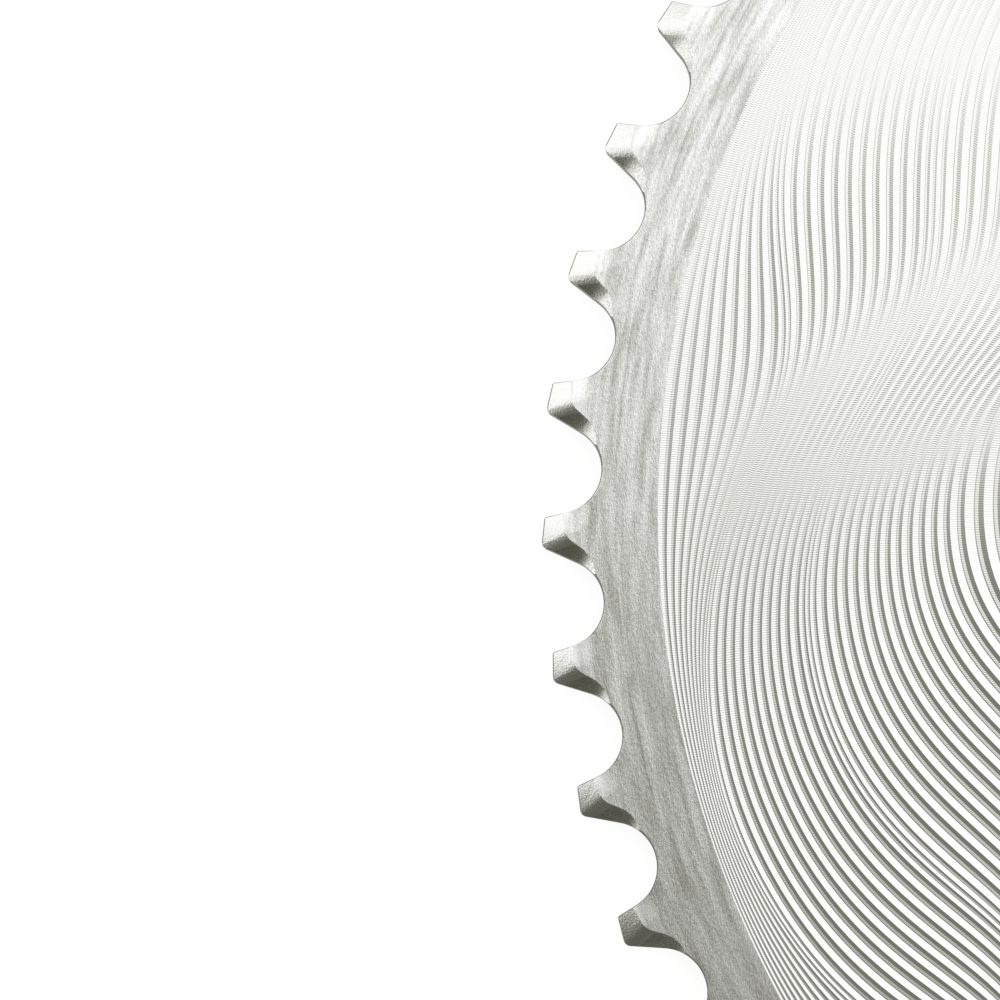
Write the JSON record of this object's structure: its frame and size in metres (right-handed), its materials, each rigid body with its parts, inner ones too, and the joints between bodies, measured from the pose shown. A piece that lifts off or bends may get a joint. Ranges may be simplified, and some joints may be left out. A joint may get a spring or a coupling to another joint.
{
  "type": "bicycle chainring",
  "caption": "Flat toothed ring for a bicycle crank, with leaning bevelled teeth, a bolt circle, a centre bore and a front face milled in wavy grooves.",
  "frame": {"origin": "ring centre on the back face, which is the face it lies on", "axes": "+Z along the ring's axis towards the grooved front face, +X through the middle of a tooth gap and a bolt hole"},
  "size_m": [0.213, 0.213, 0.003],
  "materials": {
    "aluminium_plate": "mill-finish plate with a milled, wavy front face and bright cut edges"
  },
  "bodies": {
    "root": {"chainring": "aluminium_plate"}
  },
  "joints": []
}
